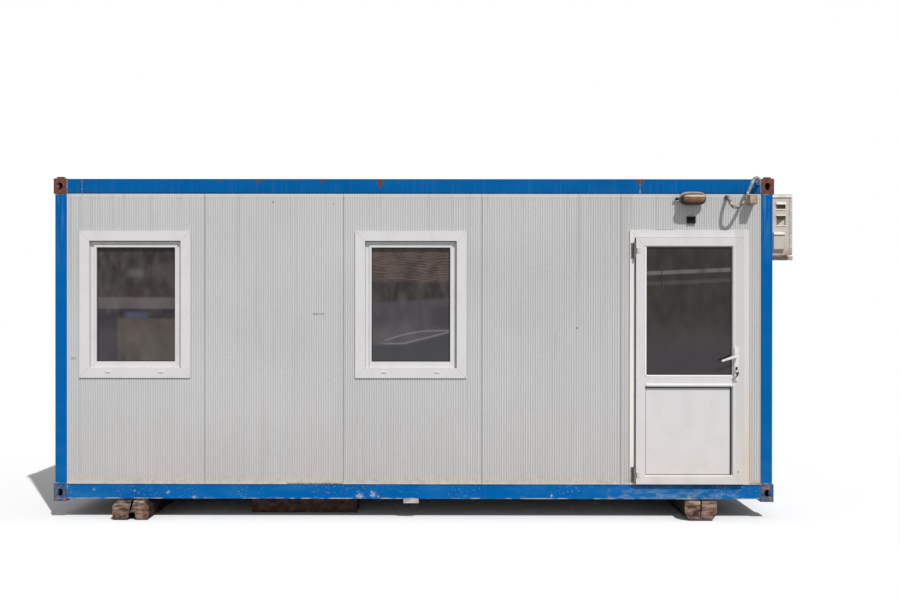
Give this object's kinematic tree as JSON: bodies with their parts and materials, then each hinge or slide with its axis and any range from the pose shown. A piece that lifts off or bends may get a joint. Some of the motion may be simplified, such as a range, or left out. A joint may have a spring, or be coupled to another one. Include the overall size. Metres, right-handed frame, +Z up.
{
  "type": "portable site cabin",
  "caption": "Steel-framed portable cabin with ribbed sandwich walls, glazed hinged door, fixed-shut windows, outside cooling unit and timber sleepers under it.",
  "frame": {"origin": "midway between the four bottom castings, on their underside plane", "axes": "+X along the front to the right as seen from the door side, +Y to the back, +Z up"},
  "size_m": [6.336, 2.6466, 2.838],
  "materials": {
    "frame_paint": "semi-gloss blue paint, scuffed, rust spots",
    "rusty_casting": "worn blue paint over rust",
    "wall_paint": "satin light grey, micro-ribbed sheet",
    "galvanised": "dull galvanised sheet",
    "deck_board": "sealed floor board, grey",
    "ceiling_board": "white lining",
    "white_upvc": "white window profile",
    "dark_glass": "tinted double glazing",
    "aluminium": "threshold strip",
    "white_metal": "white powder coat",
    "lock_metal": "nickel",
    "lamp_metal": "grey cast case",
    "lamp_lens": "stained lens",
    "black_plastic": "black",
    "tan_box": "weathered grey-tan",
    "conduit_grey": "corrugated conduit",
    "unit_beige": "beige powder coat",
    "fan_black": "dark moulded fan",
    "copper_pipe": "foam lagging",
    "timber": "weathered grey-brown timber",
    "dark_timber": "dark wet timber",
    "pale_block": "pale packing block"
  },
  "bodies": {
    "cabin": {"corner_castings": "rusty_casting", "stop_lugs": "rusty_casting", "corner_posts": "frame_paint", "long_bottom_rails": "frame_paint", "end_bottom_rails": "frame_paint", "long_top_rails": "frame_paint", "end_top_rails": "frame_paint", "floor_joists": "galvanised", "underfloor_sheet": "galvanised", "floor_deck": "deck_board", "roof_sheet": "galvanised", "ceiling": "ceiling_board", "window_panels": "wall_paint", "plain_front_panels": "wall_paint", "door_bay_panels": "wall_paint", "back_panels": "wall_paint", "left_end_panels": "wall_paint", "right_end_panels": "wall_paint", "corner_covers": "ceiling_board", "window_frames": "white_upvc", "window_sashes": "white_upvc", "window_glass": "dark_glass", "door_frame": "white_upvc", "door_threshold": "aluminium", "hinge_frame_halves": "white_metal", "lamp_body": "lamp_metal", "lamp_glass": "lamp_lens", "wall_box": "black_plastic", "inlet_box": "tan_box", "supply_conduit": "conduit_grey", "conduit_glands": "conduit_grey", "condenser_case": "unit_beige", "condenser_fan": "fan_black", "condenser_guard": "unit_beige", "condenser_cover": "unit_beige", "condenser_brackets": "unit_beige", "condenser_pipes": "copper_pipe", "sleepers": "timber", "middle_packer": "dark_timber", "rail_pad": "pale_block"},
    "door": {"door_leaf": "white_upvc", "door_glass": "dark_glass", "door_lower_panel": "white_upvc", "hinge_door_halves": "white_metal", "handle_plates": "white_metal", "lock_cylinder": "lock_metal"},
    "handle": {"door_handle": "white_metal"}
  },
  "joints": [
    {"name": "door_hinge", "type": "hinge", "parent": "cabin", "child": "door", "pos_m": [1.833, -1.2415, 1.171], "axis": [0, 0, -1], "range_deg": [0, 110]},
    {"name": "handle_turn", "type": "hinge", "parent": "door", "child": "handle", "pos_m": [2.67, -1.2475, 1.22], "axis": [0, -1, 0], "range_deg": [-19, 30], "stiffness_Nm_per_rad": 2, "springref_deg": -4.58}
  ]
}
